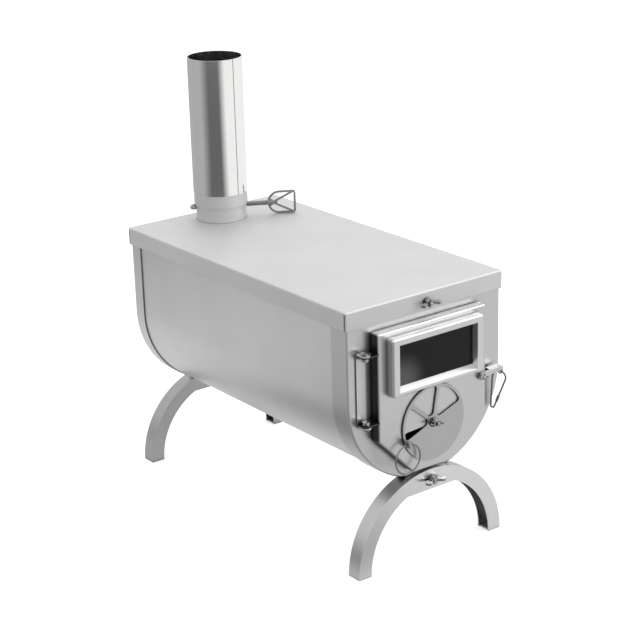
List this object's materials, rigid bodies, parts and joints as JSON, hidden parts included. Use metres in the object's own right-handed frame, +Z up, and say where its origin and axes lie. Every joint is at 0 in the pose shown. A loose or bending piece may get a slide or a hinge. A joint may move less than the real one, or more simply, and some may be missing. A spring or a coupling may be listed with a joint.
{
  "type": "tent wood stove",
  "caption": "Sheet-metal tent wood stove: U-shaped firebox on arched legs, flat lid, glazed door with a turning air wheel, and a flue with a damper and pipe.",
  "frame": {"origin": "on the ground under the middle of the stove", "axes": "+Z up, the door faces -Y, +X to the right of someone facing the door"},
  "size_m": [0.2, 0.4218, 0.4612],
  "materials": {
    "brushed_sheet": "satin",
    "leg_sheet": "satin",
    "polished_pipe": "polished",
    "flue_sheet": "satin",
    "wheel_sheet": "satin",
    "dark_glass": "gloss",
    "fastener_steel": "semi-gloss",
    "wire_steel": "semi-gloss",
    "damper_steel": "satin",
    "grate_steel": "satin"
  },
  "bodies": {
    "stove": {"firebox_shell": "brushed_sheet", "front_end_cap": "brushed_sheet", "rear_end_cap": "brushed_sheet", "lid": "brushed_sheet", "fire_grate": "grate_steel", "flue_spigot": "flue_sheet", "flue_sleeve": "flue_sheet", "front_leg": "leg_sheet", "rear_leg": "leg_sheet", "leg_lugs": "brushed_sheet", "leg_bolts": "fastener_steel", "leg_spacers": "fastener_steel", "lid_bolts": "fastener_steel", "hinge_bracket": "brushed_sheet", "hinge_pins": "fastener_steel", "latch_catch": "brushed_sheet"},
    "door": {"door_panel": "brushed_sheet", "window_frame": "brushed_sheet", "window_glass": "dark_glass", "window_screws": "fastener_steel", "air_wheel_stud": "fastener_steel", "latch_pivot": "fastener_steel"},
    "air_wheel": {"air_wheel": "wheel_sheet"},
    "air_wheel_nut": {"air_wheel_nut": "fastener_steel"},
    "air_wheel_ring": {"air_wheel_ring": "wire_steel"},
    "latch_lever": {"latch_lever": "brushed_sheet"},
    "latch_ring": {"latch_ring": "wire_steel"},
    "damper": {"damper_plate": "damper_steel", "damper_shaft": "damper_steel", "damper_handle": "damper_steel", "damper_spacer": "damper_steel", "damper_nut": "damper_steel"},
    "chimney": {"chimney_pipe": "polished_pipe"},
    "lid_nut_front": {"lid_nut_front": "fastener_steel"},
    "lid_nut_rear": {"lid_nut_rear": "fastener_steel"},
    "leg_nut_front": {"leg_nut_front": "fastener_steel"},
    "leg_nut_rear": {"leg_nut_rear": "fastener_steel"}
  },
  "joints": [
    {"name": "door_swing", "type": "hinge", "parent": "stove", "child": "door", "pos_m": [-0.0825, -0.199, 0.198], "axis": [0, 0, -1], "range_deg": [0, 135]},
    {"name": "air_wheel_turn", "type": "hinge", "parent": "door", "child": "air_wheel", "pos_m": [-0.0015, -0.204, 0.147], "axis": [0, -1, 0], "range_deg": [-17, 163]},
    {"name": "air_wheel_nut_turn", "type": "hinge", "parent": "door", "child": "air_wheel_nut", "pos_m": [-0.0015, -0.207, 0.147], "axis": [0, -1, 0], "continuous": true},
    {"name": "air_wheel_ring_swing", "type": "hinge", "parent": "air_wheel", "child": "air_wheel_ring", "pos_m": [-0.03828, -0.2084, 0.13434], "axis": [-0.9455, 0, -0.3256], "range_deg": [-4, 80]},
    {"name": "latch_lift", "type": "hinge", "parent": "door", "child": "latch_lever", "pos_m": [0.062, -0.204, 0.1792], "axis": [0, -1, 0], "range_deg": [0, 35]},
    {"name": "latch_ring_swing", "type": "hinge", "parent": "latch_lever", "child": "latch_ring", "pos_m": [0.0885, -0.20355, 0.1778], "axis": [0, -1, 0], "range_deg": [-15, 60]},
    {"name": "damper_turn", "type": "hinge", "parent": "stove", "child": "damper", "pos_m": [0, 0.1567, 0.2936], "axis": [0.866, -0.5, 0], "range_deg": [0, 90]},
    {"name": "chimney_lift", "type": "slide", "parent": "stove", "child": "chimney", "axis": [0, 0, 1], "range_m": [0, 0.025]},
    {"name": "lid_nut_front_turn", "type": "hinge", "parent": "stove", "child": "lid_nut_front", "pos_m": [0, -0.196, 0.2688], "axis": [0, -1, 0], "continuous": true},
    {"name": "lid_nut_rear_turn", "type": "hinge", "parent": "stove", "child": "lid_nut_rear", "pos_m": [0, 0.196, 0.2688], "axis": [0, 1, 0], "continuous": true},
    {"name": "leg_nut_front_turn", "type": "hinge", "parent": "stove", "child": "leg_nut_front", "pos_m": [0, -0.202, 0.083], "axis": [0, -1, 0], "continuous": true},
    {"name": "leg_nut_rear_turn", "type": "hinge", "parent": "stove", "child": "leg_nut_rear", "pos_m": [0, 0.202, 0.083], "axis": [0, 1, 0], "continuous": true}
  ]
}
